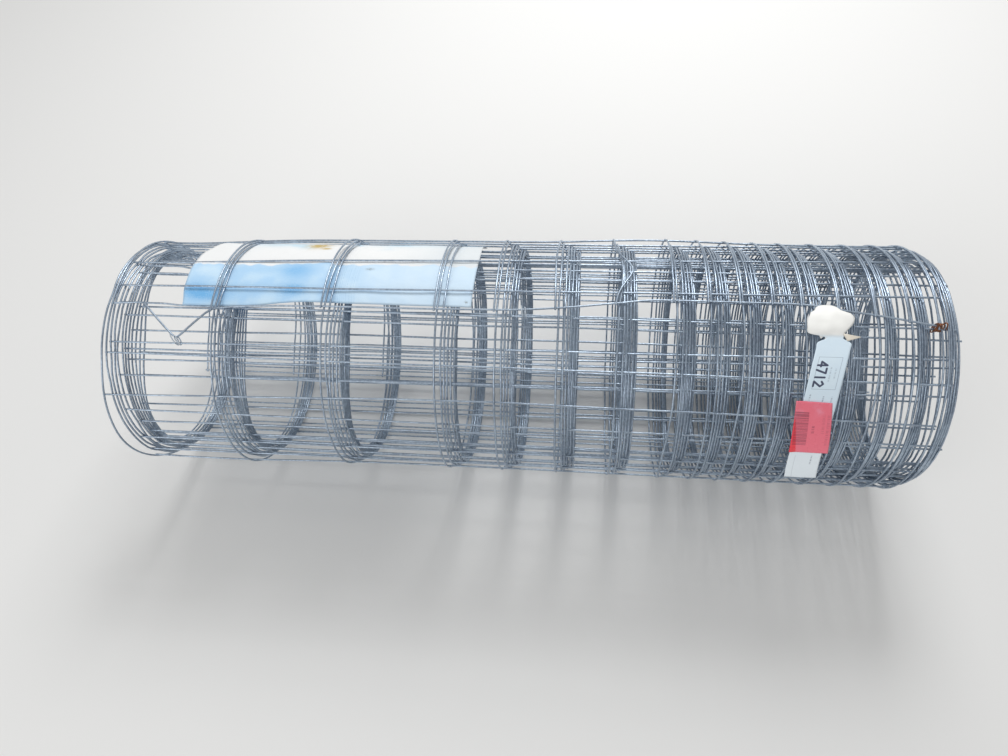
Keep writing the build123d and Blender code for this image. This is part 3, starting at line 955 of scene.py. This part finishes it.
def redStickerPaper():
    material, tree, shader = newMaterial("redStickerPaper")
    here = flatPlace(tree, 0, 0)
    across, along = parted(tree, here)
    overStrip = ramp(across + along * 0.10, -10.6, -9.8)
    colour = blendColours(tree, overStrip, sticker["red"], sticker["redOverStrip"])
    # painted sheen, stronger towards the top of the sticker
    paintedSheen = ramp(speckle(tree, 0.07, 3, here), 0.45, 0.7) * ramp(along, 20, 45)
    colour = blendColours(tree, paintedSheen * 0.7, colour, sticker["paintedPinkSheen"])
    left, right, low, high = sticker["bars"]
    ink = band(across, left, right, 0.15) * band(along, low, high) * dashes(tree, along, 1.6, 0.55) * 0.55
    ink = ink + printLines(tree, here, sticker["smallPrint"], 1.1, 0.3, 1.1, 0.5)
    colour = blendColours(tree, ink, colour, sticker["ink"])
    rough = ramp(speckle(tree, 0.2, 2, here), 0.3, 0.7) * 0.2 + 0.22
    setShader(tree, shader, Base_Color=colour, Roughness=rough)
    addBump(tree, shader, speckle(tree, 0.15, 3, here), 0.5 * mm, 0.35)
    return material


tagSticker = bendSheets("tag_sticker", [
    (stickerShape, *sticker["grid"], sticker["thickness"], 0),
], [redStickerPaper()])
print("label, tag and sticker made")

# Wire ties round the end cross wire and the one below it

ties = {  # place and angles of the two wires, in mm and degrees, and the loop's turns, pitch and spare room
    "tie_left": {
        "place": 73.1, "upper": 61.2, "lower": 60.9, "height": -5.2,
        "turns": 2.3, "pitch": 2.2, "room": 0.4, "flare": 0.5,
    },
    "tie_middle": {
        "place": 378.5, "upper": 78.2, "lower": 76.5, "height": -6.7,
        "turns": 1.35, "pitch": 3.0, "room": 0.6, "flare": 0.3,
    },
    "tie_right": {
        "place": 708.5, "upper": 75.2, "lower": 74.5, "height": -6.7,
        "turns": 5.2, "pitch": 1.5, "room": 0.6, "flare": 0.6,
    },
}
tieWire = {
    "radius": 0.55 * mm,
    "steps": 90,
    "sides": 8,
    "flarePower": 6,  # a larger number keeps the flare nearer to the ends
    "darkRust": (0.13, 0.05, 0.03, 1),
    "rust": (0.30, 0.10, 0.035, 1),
    "paleRust": (0.46, 0.22, 0.08, 1),
}


def rustyTieWire():
    material, tree, shader = newMaterial("rustyTieWire")
    patches = ramp(speckle(tree, 260, 4), 0.40, 0.62)
    grain = speckle(tree, 1800, 3)
    colour = blendColours(tree, patches, tieWire["rust"], tieWire["darkRust"])
    colour = blendColours(tree, ramp(grain, 0.5, 0.7) * 0.5, colour, tieWire["paleRust"])
    setShader(tree, shader, Base_Color=colour, Roughness=patches * 0.2 + 0.7)
    addBump(tree, shader, grain, 0.15 * mm, 0.8)
    return material


def wireAt(place, angle, height):  # middle of the cross wire that lies nearest to a place and angle
    target = onRollAt(place, angle, height)
    ringSize, reach = 2.6 * mm, 9 * mm
    near = [vertex.co for vertex in crossWires.data.vertices
            if abs(vertex.co.x - target.x) < ringSize and (vertex.co - target).length < reach]
    nearest = min(near, key=lambda point: (point - target).length)
    ring = [point for point in near if (point - nearest).length < ringSize]
    return sum(ring, Vector()) / len(ring)


def wireTieTree(material):
    names = ["Turns", "Pitch", "Long", "Short", "Flare", "Tilt", "Wire radius", "X", "Y", "Z"]
    tree, size = startTree("wireTie", {name: 0.0 for name in names})
    along = addNode(tree, "GeometryNodeSplineParameter")
    angle = along * size["Turns"] * math.tau
    ends = (along * 2 - 1).calc("ABSOLUTE").calc("POWER", tieWire["flarePower"]) * size["Flare"] + 1
    long = angle.calc("COSINE") * size["Long"] * ends
    short = angle.calc("SINE") * size["Short"] * ends
    position = addNode(tree, "ShaderNodeCombineXYZ", {
        "X": size["X"] + (along - 0.5) * size["Turns"] * size["Pitch"],
        "Y": size["Y"] + long * size["Tilt"].calc("COSINE") - short * size["Tilt"].calc("SINE"),
        "Z": size["Z"] + long * size["Tilt"].calc("SINE") + short * size["Tilt"].calc("COSINE"),
    })
    inputs = {"Geometry": unitLine(tree, tieWire["steps"]), "Position": position}
    wire = addNode(tree, "GeometryNodeSetPosition", inputs)
    return endTree(tree, wireFromCurve(tree, wire, size["Wire radius"], tieWire["sides"], material))


def addTie(name, values, material):
    upper = wireAt(values["place"], values["upper"], 0)
    lower = wireAt(values["place"], values["lower"], values["height"])
    middle, apart = (upper + lower) / 2, upper - lower
    reach = wireRadius + tieWire["radius"] + values["room"] * mm
    return growPiece(name, wireTieTree(material), {
        "Turns": values["turns"], "Pitch": values["pitch"] * mm, "Flare": values["flare"],
        "Long": apart.length / 2 + reach, "Short": reach, "Tilt": math.atan2(apart.z, apart.y),
        "Wire radius": tieWire["radius"], "X": middle.x, "Y": middle.y, "Z": middle.z,
    })


rustyWire = rustyTieWire()
dressed = [(labelSheet, "label_sheet", "label_paper"), (lotTag, "lot_tag", "tag_paper"),
           (tagSticker, "tag_sticker", "red_sticker")]
for name, values in ties.items():
    rusty = name == "tie_right"
    tie = addTie(name, values, rustyWire if rusty else brightTieWire)
    dressed.append((tie, name, "rusty_tie_wire" if rusty else "bright_tie_wire"))
for piece, node, slot in dressed:
    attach(piece, "root")
    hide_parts(node)
print("ties made")


# Floor, lights and camera

view = {
    "along": 427.5 * mm,  # camera's place along the roll, from the left line wire
    "distance": 694.9 * mm,  # from the roll's axis
    "elevation": 58,
    "turns": (6.21, -1.78, 1.735),  # degrees sideways, up and round, from looking square at the axis
    "lens": 25.0,
}
studio = {
    "floor": (0.80, 0.80, 0.79, 1),
    "floorSize": 8,
    "world": 0.50,
    "target": (0, 0, 0.1),
    "lamps": {  # place, size and power
        "keyLight": ((0.25, 1.25, 1.45), 0.7, 20),
        "fillLight": ((-1.2, -1.4, 1.2), 1.6, 12),
    },
}


def addFloor():
    bpy.ops.mesh.primitive_plane_add(size=studio["floorSize"])
    floor = bpy.context.object
    floor.name = "floor"
    material, tree, shader = newMaterial("paleFloor")
    setShader(tree, shader, Base_Color=studio["floor"], Roughness=0.9)
    floor.data.materials.append(material)


def addLight(name, place, size, power):
    light = bpy.data.lights.new(name, "AREA")
    light.shape = "DISK"
    light.size = size
    light.energy = power
    lamp = bpy.data.objects.new(name, light)
    lamp.location = place
    lamp.rotation_euler = (Vector(studio["target"]) - Vector(place)).to_track_quat("-Z", "Y").to_euler()
    bpy.context.scene.collection.objects.link(lamp)


def addWorld(strength):
    world = bpy.data.worlds.new("plainWorld")
    world.use_nodes = True
    background = world.node_tree.nodes["Background"]
    background.inputs["Color"].default_value = (1, 1, 1, 1)
    background.inputs["Strength"].default_value = strength
    bpy.context.scene.world = world


def addCamera():
    lens = bpy.data.cameras.new("camera")
    lens.lens = view["lens"]
    lens.sensor_width = 36
    lens.clip_start = 0.01
    camera = bpy.data.objects.new("camera", lens)
    elevation = math.radians(view["elevation"])
    sideways, up, aslant = (math.radians(angle) for angle in view["turns"])
    turned = Matrix.Rotation(math.pi / 2 - elevation, 4, "X") @ Matrix.Rotation(sideways, 4, "Y") \
        @ Matrix.Rotation(up, 4, "X") @ Matrix.Rotation(aslant, 4, "Z")
    place = Vector((rollSizes["Left"] + view["along"], -view["distance"] * math.cos(elevation),
                    rollSizes["Axis height"] + view["distance"] * math.sin(elevation)))
    camera.matrix_world = Matrix.Translation(place) @ turned
    bpy.context.scene.collection.objects.link(camera)
    bpy.context.scene.camera = camera


addFloor()
for name, values in studio["lamps"].items():
    addLight(name, *values)
addWorld(studio["world"])
addCamera()
bpy.context.scene.view_settings.view_transform = "Standard"
print("floor, lights and camera made")
